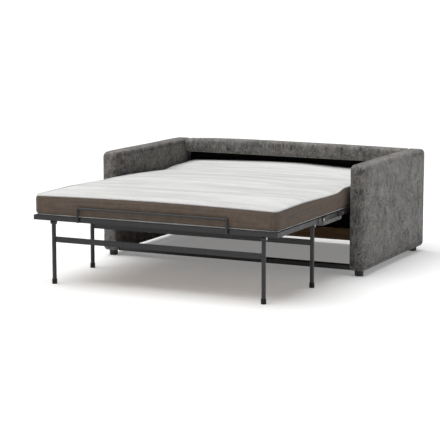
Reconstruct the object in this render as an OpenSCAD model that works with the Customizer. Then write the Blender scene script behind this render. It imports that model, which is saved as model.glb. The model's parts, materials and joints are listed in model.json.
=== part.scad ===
// Sofa bed, open: thin upholstered arms, a low back rail and a fold-out slatted deck with its mattress.
// Millimetres. X runs across the sofa, +Y towards its back, +Z up. Origin under the middle, on the floor.
// Depths are measured from the outer face of the back towards the foot of the bed.

/* [Sofa] */
// Width over both arms
outer_w = 1600; // [1400:10:1900]
// Depth of an arm, front to back
sofa_depth = 976; // [960:2:1040]
// Height of the arms above the floor
arm_h = 600; // [580:5:680]
// Thickness of an upholstered arm
arm_t = 84; // [70:1:110]
// Gap under the arms, which the glides fill
floor_gap = 30; // [24:1:32]
// Radius of the upper corners of an arm
arm_corner_r = 28; // [18:1:50]
// Softening of the arm's long edges
arm_edge_r = 9; // [5:1:10]
// Padding over the boards of an arm
pad_t = 10; // [6:1:14]
// Thickness of the boards that close an arm frame
board_t = 4; // [3:0.5:6]
// Height of the wooden members in an arm frame
member_w = 46; // [30:1:60]

/* [Back] */
// Depth of the padded back rail
rail_depth = 112; // [90:1:120]
// Height of the padded back rail
rail_h = 78; // [60:1:90]
// Rise of the padding at the middle of the rail
rail_crown = 4; // [0:0.5:8]
// Padding round the wooden beam in the rail
rail_pad = 14; // [8:1:18]
// Edge radius of the rail's padding
rail_edge_r = 20; // [12:1:26]
// Upholstery on the outside of the back
back_cover_t = 6; // [3:0.5:8]
// Plywood board of the back
back_board_t = 9; // [6:0.5:12]
// Black cloth that lines the recess
lining_t = 1.5; // [1:0.25:2]
// Height of the lower back rail
lower_rail_h = 70; // [50:1:90]
// Thickness of the lower back rail
lower_rail_t = 28; // [20:1:32]

/* [Deck] */
// Distance from the arm tops down to the fold lines
deck_drop = 247; // [240:1:252]
// Distance from the back to the rear pivots
rear_depth = 36; // [34:1:44]
// How far the rear pivots sit above the other fold lines
rear_rise = 8; // [0:1:14]
// Length of the head section between its fold lines
head_len = 356; // [340:1:370]
// Length of the body section between its fold lines
body_len = 641; // [620:1:645]
// Length of the short section that stands up at the front when folded
mid_len = 270; // [268:1:290]
// Length of the foot section from its fold line to the mattress end
foot_len = 570; // [540:1:572]
// Gap between the deck and each arm
side_gap = 22; // [21.9:0.1:26]
// Height of the angle steel that frames each section
angle_h = 25; // [22:1:25]
// Width of the angle steel's flat leg
angle_w = 25; // [20:1:30]
// Wall of the angle steel
angle_t = 3; // [2:0.5:3.5]
// Space from a fold line to the frames beside it
fold_gap = 14; // [13.5:0.5:16]

/* [Slats] */
// Width of a slat
slat_w = 60; // [50:1:64]
// Thickness of a slat
slat_t = 8; // [6:0.5:9]
// Rise of a slat at its middle
slat_camber = 8; // [4:0.5:8.5]
// Slats in the head section
head_slats_n = 3; // [2:1:4]
// Slats in the body section
body_slats_n = 6; // [4:1:7]
// Slats in the short section
mid_slats_n = 2; // [1:1:2]
// Slats in the foot section
foot_slats_n = 6; // [4:1:6]
// Length of the holder on each slat end
holder_len = 34; // [24:1:45]
// Wall of a slat holder
holder_wall = 3; // [2:0.5:4]

/* [Mattress] */
// Thickness of the mattress at its long edges
mattress_t = 102; // [80:1:102]
// Rise of the mattress at its middle
mattress_crown = 16; // [0:1:16]
// Radius of the mattress edges
mattress_edge_r = 22; // [10:1:30]
// How far the sides draw in between the edges
side_draw = 3; // [0:0.5:6]
// Dip of the mattress over the head fold
fold_dip = 9; // [0:1:16]
// Overhang of the mattress behind the rear pivots
head_overhang = 8; // [4:1:12]

/* [Hinges] */
// Thickness of a hinge ear
ear_t = 3.5; // [3:0.1:3.6]
// Radius of a hinge ear round its pin
ear_r = 12; // [11:0.5:12]
// Length of a hinge ear along its section
ear_len = 60; // [40:1:80]
// Radius of the hinge pins
pin_r = 5; // [4:0.5:5.5]
// Radial running clearance of the pins
pin_clear = 0.06; // [0.02:0.01:0.1]
// Radial clearance of the head section's rear pivots
open_clear = 0.5; // [0.2:0.1:1]
// Radius of the pin heads
pin_head_r = 8; // [7:0.5:8.5]
// Thickness of a swing link
link_t = 4; // [3:0.5:4]
// Width of a swing link
link_w = 28; // [22:1:30]
// Distance from the head fold to the swing links' upper pins
link_offset = 438; // [380:1:470]
// Thickness of the side rail plates
plate_t = 4; // [3:0.5:4]
// Height of the side rail plates
plate_h = 56; // [44:1:70]
// Gap between plates that pass each other
layer_gap = 0.3; // [0.2:0.05:0.4]

/* [Legs] */
// Radius of the leg tubes
leg_r = 11; // [9:0.5:12]
// Wall of the leg tubes
leg_wall = 1.5; // [1:0.25:2.5]
// Distance from the deck's side to the middle legs
mid_leg_inset = 39; // [36:1:45]
// Distance from the deck's side to the foot legs
foot_leg_inset = 94; // [86:1:120]
// Distance from the last fold line to the middle legs
mid_leg_offset = 40; // [36:1:50]
// Distance from the foot legs to the mattress end
foot_leg_offset = 45; // [40:1:60]
// Height of the rubber leg tips
tip_h = 26; // [18:1:40]
// Wall of the rubber leg tips
tip_wall = 2.5; // [1.5:0.5:4]
// Width of the strip that braces each pair of legs
brace_w = 30; // [20:1:40]
// Distance from the leg pivots to the brace
brace_drop = 75; // [60:1:80]
// Thickness of leg brackets and braces
strip_t = 3; // [2:0.5:3]

/* [Trim] */
// Thickness of the apron board
apron_t = 12; // [9:1:14]
// Padding over the apron board
apron_pad = 9; // [5:1:11]
// Height of the front tie tube
tie_h = 24; // [18:1:25]
// Depth of the front tie tube
tie_d = 50; // [30:1:60]
// Wall of the front tie tube
tie_wall = 2; // [1.5:0.5:3]
// Setback of the front tie tube from the arm fronts
tie_setback = 31; // [20:1:60]
// Radius of a floor glide
glide_r = 24; // [18:1:30]
// Radius of the bar that stops the mattress at its foot
stop_r = 6; // [5:0.5:6]
// Height of the stop bar above the fold lines
stop_rise = 62; // [40:1:80]
// Half length of the stop bar
stop_half = 430; // [300:5:560]

/* [Hidden] */
$fn = 48;
cut = 1;
seat_clear = 0.4;
hull_fn = 32;

// Levels and places across the sofa
deck_z = arm_h - deck_drop;
angle_half = angle_h / 2;
inner_half = outer_w / 2 - arm_t;
deck_half = inner_half - side_gap;
inner_ear_x = deck_half;
outer_ear_x = inner_ear_x + ear_t + layer_gap;
pin_end_x = outer_ear_x + ear_t + layer_gap;
rivet_t = 1.8;
link_x = pin_end_x + rivet_t + 2 * layer_gap;
plate_x = inner_half - plate_t;

// Places along the bed
head_tilt = asin(rear_rise / head_len);
head_fold_d = rear_depth + head_len * cos(head_tilt);
front_fold_d = head_fold_d + body_len;
foot_fold_d = front_fold_d + mid_len;
bed_end_d = foot_fold_d + foot_len;
total_len = bed_end_d + 2 * stop_r + cut;
back_y = total_len / 2;
rear_z = deck_z + rear_rise;
link_top_d = head_fold_d + link_offset;
link_base_d = link_top_d - head_len * cos(head_tilt);

// Where the mattress is divided: the two soft folds take the bending
mattress_full_t = mattress_t + mattress_crown;
head_cut = 66;
foot_cut = 86;
piece_gap = 1;
tilt_gap = 4;
lining_d = back_cover_t + back_board_t + lining_t;

// Leg pivots
leg_pivot_z = deck_z - angle_half - strip_t - leg_r - seat_clear;
mid_leg_x = deck_half - mid_leg_inset;
foot_leg_x = deck_half - foot_leg_inset;
mid_leg_d = foot_fold_d + mid_leg_offset;
foot_leg_d = bed_end_d - foot_leg_offset;
leg_pin_r = 4;
leg_side_clear = 0.5;
bracket_reach = 6;

fabric = [0.36, 0.355, 0.345];
white = [0.9, 0.9, 0.89];
steel = [0.16, 0.16, 0.17];
timber = [0.78, 0.62, 0.42];
ply = [0.7, 0.56, 0.38];
plastic = [0.1, 0.1, 0.11];

function row_y(depth) = back_y - depth;

// A block between two places across, two depths and two heights
module block(x0, x1, d0, d1, z0, z1) {
    translate([x0, row_y(d1), z0]) cube([x1 - x0, d1 - d0, z1 - z0]);
}

// A plate cut in the side view, drawn as depth and height, from x0 outwards
module side_plate(x0, thick) {
    translate([x0 + thick, back_y, 0]) rotate([90, 0, -90]) linear_extrude(thick) children();
}

// A round bar across the sofa
module cross_pin(x0, length, r, depth, z) {
    translate([x0, row_y(depth), z]) rotate([0, 90, 0]) cylinder(r = r, h = length);
}

// A part of the right side and its mirror image
module both_sides() {
    children();
    mirror([1, 0, 0]) children();
}

// The head section lies level when drawn, and leans down to the head fold when placed
module head_place() {
    translate([0, row_y(rear_depth), rear_z]) rotate([head_tilt, 0, 0])
        translate([0, -row_y(rear_depth), -rear_z]) children();
}

// Arms

arm_inner_x = inner_half;
arm_outer_x = outer_w / 2;
boards_in_x = arm_inner_x + pad_t;
frame_in_x = boards_in_x + board_t;
frame_out_x = arm_outer_x - pad_t - board_t;
core_d0 = pad_t;
core_d1 = sofa_depth - pad_t;
core_z0 = floor_gap + pad_t;
core_z1 = arm_h - pad_t;

// Top, bottom, end and middle members of one arm frame
module arm_frame() {
    bays = 2;
    bay = (core_d1 - core_d0 - member_w) / bays;
    block(frame_in_x, frame_out_x, core_d0, core_d1, core_z0, core_z0 + member_w);
    block(frame_in_x, frame_out_x, core_d0, core_d1, core_z1 - member_w, core_z1);
    for (i = [0:bays])
        block(frame_in_x, frame_out_x, core_d0 + i * bay, core_d0 + i * bay + member_w,
              core_z0 + member_w - cut, core_z1 - member_w + cut);
}

module arm_boards() {
    block(boards_in_x, frame_in_x, core_d0, core_d1, core_z0, core_z1);
    block(frame_out_x, frame_out_x + board_t, core_d0, core_d1, core_z0, core_z1);
}

// A disc across the arm with a soft rim, one for each corner of the padding
module arm_corner(r, depth, z) {
    e = min(arm_edge_r, r / 2);
    translate([arm_inner_x, row_y(depth), z]) rotate([0, 90, 0]) rotate_extrude($fn = hull_fn)
        polygon([[0, 0], for (a = [0:30:90]) [r - e + e * sin(a), e - e * cos(a)],
                 for (a = [0:30:90]) [r - e + e * cos(a), arm_t - e + e * sin(a)], [0, arm_t]]);
}

module arm_cover() {
    low_r = arm_corner_r / 2;
    difference() {
        hull() {
            arm_corner(arm_corner_r, arm_corner_r, arm_h - arm_corner_r);
            arm_corner(arm_corner_r, sofa_depth - arm_corner_r, arm_h - arm_corner_r);
            arm_corner(low_r, low_r, floor_gap + low_r);
            arm_corner(low_r, sofa_depth - low_r, floor_gap + low_r);
        }
        block(boards_in_x, frame_out_x + board_t, core_d0, core_d1, core_z0, core_z1);
    }
}

module right_arm_frame() color(timber) arm_frame();
module left_arm_frame() color(timber) mirror([1, 0, 0]) arm_frame();
module right_arm_boards() color(ply) arm_boards();
module left_arm_boards() color(ply) mirror([1, 0, 0]) arm_boards();
module right_arm_cover() color(fabric) arm_cover();
module left_arm_cover() color(fabric) mirror([1, 0, 0]) arm_cover();

// Back

rail_z0 = arm_h - rail_h;
end_gap = 0.5;

module back_rail_beam() color(timber)
    block(-inner_half + end_gap, inner_half - end_gap, rail_pad, rail_depth - rail_pad,
          rail_z0 + rail_pad, arm_h - rail_pad);

// Four balls that round one end of the rail, or its crowned middle
module rail_section(x, grow) {
    for (d = [rail_edge_r, rail_depth - rail_edge_r + grow / 2], z = [rail_z0 + rail_edge_r, arm_h - rail_edge_r + grow])
        translate([x, row_y(d), z]) sphere(r = rail_edge_r, $fn = hull_fn);
}

module back_rail_cover() color(fabric) difference() {
    hull() {
        rail_section(inner_half - end_gap - rail_edge_r, 0);
        rail_section(0, rail_crown);
        rail_section(-inner_half + end_gap + rail_edge_r, 0);
    }
    block(-inner_half, inner_half, rail_pad, rail_depth - rail_pad, rail_z0 + rail_pad, arm_h - rail_pad);
}

module back_board() color(ply)
    block(-inner_half + end_gap, inner_half - end_gap, back_cover_t, back_cover_t + back_board_t,
          floor_gap, rail_z0 - end_gap);

module back_cover() color(fabric)
    block(-inner_half + end_gap, inner_half - end_gap, 0, back_cover_t, floor_gap, rail_z0 - end_gap);

module back_lining() color(plastic)
    block(-inner_half + end_gap, inner_half - end_gap, back_cover_t + back_board_t, lining_d,
          floor_gap + lower_rail_h, rail_z0 - end_gap);

module lower_back_rail() color(timber)
    block(-inner_half + end_gap, inner_half - end_gap, back_cover_t + back_board_t,
          back_cover_t + back_board_t + lower_rail_t, floor_gap, floor_gap + lower_rail_h - end_gap);

module front_tie_tube() color(steel) {
    d1 = sofa_depth - tie_setback;
    z1 = floor_gap + tie_h;
    difference() {
        block(-inner_half, inner_half, d1 - tie_d, d1, floor_gap, z1);
        block(-inner_half - cut, inner_half + cut, d1 - tie_d + tie_wall, d1 - tie_wall,
              floor_gap + tie_wall, z1 - tie_wall);
    }
}

module floor_glides() color(plastic) both_sides()
    for (d = [2 * glide_r, sofa_depth - 2 * glide_r])
        translate([(arm_inner_x + arm_outer_x) / 2, row_y(d), 0]) {
            cylinder(r1 = glide_r - strip_t, r2 = glide_r, h = strip_t);
            translate([0, 0, strip_t]) cylinder(r = glide_r, h = floor_gap - strip_t);
        }

// Plates that carry the deck on the arms

plate_end = 40;

module plate_outline() {
    translate([lining_d + cut, rear_z - plate_h / 2])
        square([link_base_d + plate_end - plate_h / 2 - lining_d - cut, plate_h]);
    translate([link_base_d + plate_end - plate_h / 2, rear_z]) circle(r = plate_h / 2);
}

screw_r = 3;
screw_head_r = 6.5;
screw_head_t = 3;
screw_n = 4;
function screw_d(i) = rear_depth + plate_h / 2 + (i + 1 / 2) * (link_base_d - rear_depth - plate_h) / screw_n;
function screw_z(i) = rear_z + (i % 2 == 0 ? 1 : -1) * plate_h / 4;

module side_plate_part() difference() {
    side_plate(plate_x, plate_t) plate_outline();
    for (i = [0:screw_n - 1]) cross_pin(plate_x - cut, plate_t + 2 * cut, screw_r, screw_d(i), screw_z(i));
}

module right_side_plate() color(steel) side_plate_part();
module left_side_plate() color(steel) mirror([1, 0, 0]) side_plate_part();

module side_plate_screws() color("silver") both_sides() for (i = [0:screw_n - 1]) {
    cross_pin(plate_x - screw_head_t, screw_head_t, screw_head_r, screw_d(i), screw_z(i));
    cross_pin(plate_x, plate_t, screw_r, screw_d(i), screw_z(i));
}

// Pins fixed in the plates: the rear pivots of the head section, and the feet of the swing links
module frame_pivot_pins() color("silver") both_sides() {
    boss_r = pin_head_r + cut;
    cross_pin(pin_end_x, plate_x - pin_end_x, boss_r, rear_depth, rear_z);
    cross_pin(outer_ear_x - layer_gap, pin_end_x - outer_ear_x + layer_gap, pin_r, rear_depth, rear_z);
    cross_pin(inner_ear_x + layer_gap, outer_ear_x - inner_ear_x - 2 * layer_gap, pin_head_r, rear_depth, rear_z);
    link_end_x = link_x + link_t + layer_gap;
    cross_pin(link_end_x, plate_x - link_end_x, boss_r, link_base_d, rear_z);
    cross_pin(link_x - layer_gap, link_t + 2 * layer_gap, pin_r, link_base_d, rear_z);
    cross_pin(pin_end_x + layer_gap, link_x - pin_end_x - 2 * layer_gap, pin_head_r, link_base_d, rear_z);
}

// Swing links, parallel to the head section
module swing_links() color(steel) both_sides() difference() {
    translate([0, row_y(link_base_d), rear_z]) rotate([head_tilt, 0, 0])
        translate([link_x + link_t, 0, 0]) rotate([90, 0, -90]) linear_extrude(link_t) {
            translate([0, -link_w / 2]) square([head_len, link_w]);
            circle(r = link_w / 2);
            translate([head_len, 0]) circle(r = link_w / 2);
        }
    cross_pin(link_x - cut, link_t + 2 * cut, pin_r + pin_clear, link_base_d, rear_z);
    cross_pin(link_x - cut, link_t + 2 * cut, pin_r + pin_clear, link_top_d, deck_z);
}

// Deck sections

// A ring of angle steel, upright leg outside and flat leg below
module angle_ring(d0, d1, z) difference() {
    block(-deck_half, deck_half, d0, d1, z - angle_half, z + angle_half);
    block(-deck_half + angle_t, deck_half - angle_t, d0 + angle_t, d1 - angle_t,
          z - angle_half + angle_t, z + angle_half + cut);
    block(-deck_half + angle_w, deck_half - angle_w, d0 + angle_w, d1 - angle_w,
          z - angle_half - cut, z);
}

// A hinge ear: round about its pin, running back along its own section
module ear(x0, depth, z, way, bore_r) difference() {
    side_plate(x0, ear_t) {
        translate([depth, z]) circle(r = ear_r);
        translate([min(depth, depth + way * ear_len), z - ear_r]) square([ear_len, 2 * ear_r]);
    }
    cross_pin(x0 - cut, ear_t + 2 * cut, bore_r, depth, z);
}

// An ear in the outer layer stands on a packing plate against its section
module packed_ear(depth, z, way, bore_r) {
    ear(outer_ear_x, depth, z, way, bore_r);
    pack_len = ear_len - 2 * ear_r - fold_gap / 2;
    d0 = way > 0 ? depth + ear_len - pack_len : depth - ear_len;
    block(inner_ear_x, outer_ear_x, d0, d0 + pack_len, z - ear_r, z + ear_r);
}

slat_half = deck_half - angle_t - holder_wall;
slat_end_z = angle_half - slat_camber - slat_t;

// A cambered slat whose middle is level with the top of the frame
module slat(depth, z) {
    n = 12;
    rise = [for (i = [0:n]) slat_camber * (1 - pow(2 * i / n - 1, 2))];
    translate([0, row_y(depth) + slat_w / 2, z + slat_end_z]) rotate([90, 0, 0]) linear_extrude(slat_w)
        polygon(concat([for (i = [0:n]) [slat_half * (2 * i / n - 1), rise[i] + slat_t]],
                       [for (i = [n:-1:0]) [slat_half * (2 * i / n - 1), rise[i]]]));
}

slot_clear = 0.3;
slot_rise = 1.6;
holder_z0 = -angle_half + angle_t;

module slat_holder(depth, z) difference() {
    block(deck_half - angle_t - holder_len, deck_half - angle_t, depth - slat_w / 2 - holder_wall,
          depth + slat_w / 2 + holder_wall, z + holder_z0, z + slat_end_z + slat_t + slot_rise + holder_wall);
    block(deck_half - angle_t - holder_len - cut, slat_half + slot_clear, depth - slat_w / 2 - slot_clear,
          depth + slat_w / 2 + slot_clear, z + slat_end_z - slot_clear, z + slat_end_z + slat_t + slot_rise);
}

function slat_d(d0, d1, n, i) = d0 + (i + 1 / 2) * (d1 - d0) / n;

module slats(d0, d1, n, z) for (i = [0:n - 1]) slat(slat_d(d0, d1, n, i), z);
module holders(d0, d1, n, z) both_sides() for (i = [0:n - 1]) slat_holder(slat_d(d0, d1, n, i), z);

// A pin riveted through an inner ear, on which the outer ear turns
module hinge_pin(depth, z) {
    cross_pin(inner_ear_x - angle_t, angle_t, pin_head_r, depth, z);
    cross_pin(inner_ear_x, pin_end_x - inner_ear_x, pin_r, depth, z);
    cross_pin(pin_end_x, rivet_t, pin_head_r - cut, depth, z);
}

// Ends of each section's frame
head_d0 = rear_depth - ear_r / 2;
head_d1 = rear_depth + head_len - fold_gap;
body_d0 = head_fold_d + fold_gap;
body_d1 = front_fold_d - fold_gap;
mid_d0 = front_fold_d + fold_gap;
mid_d1 = foot_fold_d - fold_gap;
foot_d0 = foot_fold_d + fold_gap;
foot_d1 = bed_end_d;

module head_frame() color(steel) head_place() {
    angle_ring(head_d0, head_d1, rear_z);
    both_sides() {
        packed_ear(rear_depth, rear_z, 1, pin_r + open_clear);
        packed_ear(rear_depth + head_len, rear_z, -1, pin_r + pin_clear);
    }
}

module head_slats() color(timber) head_place() slats(head_d0, head_d1, head_slats_n, rear_z);
module head_slat_holders() color(plastic) head_place() holders(head_d0, head_d1, head_slats_n, rear_z);

module body_frame() color(steel) difference() {
    union() {
        angle_ring(body_d0, body_d1, deck_z);
        both_sides() {
            ear(inner_ear_x, head_fold_d, deck_z, 1, pin_r);
            ear(inner_ear_x, front_fold_d, deck_z, -1, pin_r);
        }
    }
    both_sides() cross_pin(deck_half - angle_t - cut, angle_t + 2 * cut, pin_r, link_top_d, deck_z);
}

module body_slats() color(timber) slats(body_d0, body_d1, body_slats_n, deck_z);
module body_slat_holders() color(plastic) holders(body_d0, body_d1, body_slats_n, deck_z);

// Pins of the body section: the head fold, the front fold and the tops of the swing links
module body_pivot_pins() color("silver") both_sides() {
    hinge_pin(head_fold_d, deck_z);
    hinge_pin(front_fold_d, deck_z);
    cross_pin(deck_half - angle_t, angle_t, pin_r, link_top_d, deck_z);
    cross_pin(deck_half, link_x - layer_gap - deck_half, pin_head_r, link_top_d, deck_z);
    cross_pin(link_x - layer_gap, link_t + 2 * layer_gap, pin_r, link_top_d, deck_z);
    cross_pin(link_x + link_t + layer_gap, rivet_t, pin_head_r, link_top_d, deck_z);
}

module mid_frame() color(steel) {
    angle_ring(mid_d0, mid_d1, deck_z);
    both_sides() {
        packed_ear(front_fold_d, deck_z, 1, pin_r + pin_clear);
        packed_ear(foot_fold_d, deck_z, -1, pin_r + pin_clear);
    }
}

module mid_slats() color(timber) slats(mid_d0, mid_d1, mid_slats_n, deck_z);
module mid_slat_holders() color(plastic) holders(mid_d0, mid_d1, mid_slats_n, deck_z);

module foot_frame() color(steel) {
    angle_ring(foot_d0, foot_d1, deck_z);
    both_sides() ear(inner_ear_x, foot_fold_d, deck_z, 1, pin_r);
}

module foot_slats() color(timber) slats(foot_d0, foot_d1, foot_slats_n, deck_z);
module foot_slat_holders() color(plastic) holders(foot_d0, foot_d1, foot_slats_n, deck_z);
module foot_pivot_pins() color("silver") both_sides() hinge_pin(foot_fold_d, deck_z);

// Apron under the short section, which closes the front when the bed is folded
apron_half = deck_half + 2 * strip_t;
apron_d0 = front_fold_d + fold_gap + strip_t;
apron_d1 = foot_fold_d - strip_t;
apron_z1 = deck_z - angle_half;

module apron_board() color(ply)
    block(-apron_half + apron_pad, apron_half - apron_pad, apron_d0 + apron_pad, apron_d1 - apron_pad,
          apron_z1 - apron_t, apron_z1);

module apron_cover() color(fabric) {
    r = apron_t / 2 + apron_pad / 2;
    difference() {
        hull() for (x = [-apron_half + r, apron_half - r], d = [apron_d0 + r, apron_d1 - r])
            translate([x, row_y(d), apron_z1 - r]) sphere(r = r, $fn = hull_fn);
        block(-apron_half + apron_pad, apron_half - apron_pad, apron_d0 + apron_pad, apron_d1 - apron_pad,
              apron_z1 - apron_t, apron_z1 + cut);
    }
}

// Bar that stops the mattress at its foot, on two uprights
module mattress_stop_bar() color(steel) {
    bar_d = bed_end_d + stop_r + cut;
    bar_z = deck_z + stop_rise;
    cross_pin(-stop_half, 2 * stop_half, stop_r, bar_d, bar_z);
    both_sides() translate([stop_half - stop_r, row_y(bar_d), deck_z - angle_half])
        cylinder(r = stop_r, h = stop_rise + angle_half);
    both_sides() block(stop_half - 2 * stop_r, stop_half, bed_end_d, bar_d, deck_z - angle_half, deck_z);
}

// Folding legs

cheek_x = leg_r + leg_side_clear;

module leg_bracket(x, depth) {
    base_z = deck_z - angle_half;
    block(x - cheek_x - strip_t, deck_half, depth - leg_r, depth + leg_r, base_z - strip_t, base_z);
    for (s = [-cheek_x - strip_t, cheek_x])
        difference() {
            side_plate(x + s, strip_t) {
                translate([depth - leg_r, leg_pivot_z]) square([2 * leg_r, base_z - strip_t - leg_pivot_z + cut / 2]);
                translate([depth, leg_pivot_z]) circle(r = leg_r);
            }
            cross_pin(x + s - cut, strip_t + 2 * cut, leg_pin_r, depth, leg_pivot_z);
        }
}

module leg_brackets() color(steel) both_sides() {
    leg_bracket(mid_leg_x, mid_leg_d);
    leg_bracket(foot_leg_x, foot_leg_d);
}

module leg_bracket_pins() color("silver") both_sides()
    for (p = [[mid_leg_x, mid_leg_d], [foot_leg_x, foot_leg_d]]) {
        cross_pin(p[0] - cheek_x - strip_t, 2 * (cheek_x + strip_t), leg_pin_r, p[1], leg_pivot_z);
        for (s = [-cheek_x - strip_t - rivet_t, cheek_x + strip_t])
            cross_pin(p[0] + s, rivet_t, leg_pin_r + strip_t, p[1], leg_pivot_z);
    }

// Two tubes with a rounded top for the pivot, and the strip that joins them
module leg_pair(x, depth) {
    both_sides() difference() {
        union() {
            translate([x, row_y(depth), tip_wall]) cylinder(r = leg_r, h = leg_pivot_z - tip_wall);
            cross_pin(x - leg_r, 2 * leg_r, leg_r, depth, leg_pivot_z);
        }
        translate([x, row_y(depth), tip_wall - cut])
            cylinder(r = leg_r - leg_wall, h = leg_pivot_z - leg_r - leg_pin_r - tip_wall);
        cross_pin(x - leg_r - cut, 2 * (leg_r + cut), leg_pin_r + pin_clear, depth, leg_pivot_z);
    }
    z1 = leg_pivot_z - brace_drop;
    block(-x + leg_r - leg_wall / 2, x - leg_r + leg_wall / 2, depth - strip_t / 2, depth + strip_t / 2, z1 - brace_w, z1);
}

module leg_tips(x, depth) both_sides() translate([x, row_y(depth), 0]) difference() {
    cylinder(r = leg_r + tip_wall, h = tip_h);
    translate([0, 0, tip_wall]) cylinder(r = leg_r, h = tip_h);
}

module middle_legs() color(steel) leg_pair(mid_leg_x, mid_leg_d);
module middle_leg_tips() color(plastic) leg_tips(mid_leg_x, mid_leg_d);
module foot_legs() color(steel) leg_pair(foot_leg_x, foot_leg_d);
module foot_leg_tips() color(plastic) leg_tips(foot_leg_x, foot_leg_d);

// Mattress

crown_steps = 12;
end_steps = 4;

// Outline across the mattress: flat below, sides drawn in, rounded edges and a crowned top
function outline(r = mattress_edge_r, h = mattress_t, w = deck_half) = concat(
    [for (a = [-90:30:0]) [w - r + r * cos(a), r + r * sin(a)]],
    [[w - side_draw, h / 2]],
    [for (a = [0:30:90]) [w - r + r * cos(a), h - r + r * sin(a)]],
    [for (i = [1:crown_steps - 1]) let (s = 1 - 2 * i / crown_steps) [(w - r) * s, h + mattress_crown * (1 - s * s)]],
    [for (a = [90:30:180]) [-w + r + r * cos(a), h - r + r * sin(a)]],
    [[-w + side_draw, h / 2]],
    [for (a = [180:30:270]) [-w + r + r * cos(a), r + r * sin(a)]]
);

// A length of mattress through its stations: each is its depth, how far it is drawn in all round,
// how far its top sinks, and how far it is lifted
module mattress_piece(stations, z) {
    shape = outline();
    n = len(shape);
    m = len(stations);
    full = mattress_full_t;
    points = [for (s = stations, p = shape) [
        p[0] * (1 - s[1] / deck_half), row_y(s[0]),
        z + s[3] + s[1] + p[1] * (1 - 2 * s[1] / full) - s[2] * p[1] / full]];
    skin = [for (j = [0:m - 2], i = [0:n - 1]) let (a = j * n + i, b = j * n + (i + 1) % n)
            each [[a, b, b + n], [a, b + n, a + n]]];
    caps = [for (i = [1:n - 2]) each [[0, i + 1, i], [(m - 1) * n, (m - 1) * n + i, (m - 1) * n + i + 1]]];
    polyhedron(points = points, faces = concat(skin, caps));
}

// Stations that round an end: at = its depth, way = the direction into the mattress
function end_stations(at, way) = [for (i = [0:end_steps]) let (a = 90 * i / end_steps, r = mattress_edge_r)
    [at + way * r * (1 - cos(a)), r * (1 - sin(a)), 0, 0]];
function reversed(list) = [for (i = [len(list) - 1:-1:0]) list[i]];

mattress_z = angle_half + seat_clear;

module head_mattress() color(white) head_place() {
    start = rear_depth - head_overhang;
    mattress_piece(concat(end_stations(start, 1),
                          [[rear_depth + head_len - head_cut - tilt_gap, 0, 0, 0]]), rear_z + mattress_z);
}

// Over the head fold the top sinks in a soft valley, and the underside follows the leaning head section
module head_fold_mattress() color(white)
    mattress_piece([for (i = [-end_steps:end_steps]) let (s = i / end_steps)
                    [head_fold_d + s * (head_cut - piece_gap), 0, fold_dip * pow(cos(90 * s), 2),
                     max(0, -s) * head_cut * tan(head_tilt)]], deck_z + mattress_z);

module body_mattress() color(white)
    mattress_piece([[head_fold_d + head_cut, 0, 0, 0], [front_fold_d - foot_cut, 0, 0, 0]], deck_z + mattress_z);

module foot_fold_mattress() color(white)
    mattress_piece([[front_fold_d - foot_cut + piece_gap, 0, 0, 0],
                    [foot_fold_d + foot_cut - piece_gap, 0, 0, 0]], deck_z + mattress_z);

module foot_mattress() color(white)
    mattress_piece(concat([[foot_fold_d + foot_cut, 0, 0, 0]], reversed(end_stations(bed_end_d, -1))),
                   deck_z + mattress_z);

right_arm_frame();
left_arm_frame();
right_arm_boards();
left_arm_boards();
right_arm_cover();
left_arm_cover();
back_rail_beam();
back_rail_cover();
back_board();
back_cover();
back_lining();
lower_back_rail();
front_tie_tube();
floor_glides();
right_side_plate();
left_side_plate();
side_plate_screws();
frame_pivot_pins();
swing_links();
head_frame();
head_slats();
head_slat_holders();
head_mattress();
body_frame();
body_slats();
body_slat_holders();
body_pivot_pins();
head_fold_mattress();
body_mattress();
mid_frame();
mid_slats();
mid_slat_holders();
foot_fold_mattress();
apron_board();
apron_cover();
foot_frame();
foot_slats();
foot_slat_holders();
foot_pivot_pins();
foot_mattress();
mattress_stop_bar();
leg_brackets();
leg_bracket_pins();
middle_legs();
middle_leg_tips();
foot_legs();
foot_leg_tips();
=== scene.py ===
"""Sofa bed, shown open: upholstered arms, back rail and apron round a slatted steel deck and its mattress.

Every length is in metres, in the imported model's frame: X across the sofa, +Y towards its back, +Z up.
Depths are measured from the outer face of the back towards the foot of the bed.
"""

from __future__ import annotations

import json
import logging
import math
from contextlib import contextmanager
from dataclasses import dataclass, field
from enum import Enum, IntEnum
from typing import Callable, Iterator, Sequence

import bpy
import numpy as np
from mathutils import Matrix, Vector, noise

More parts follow.
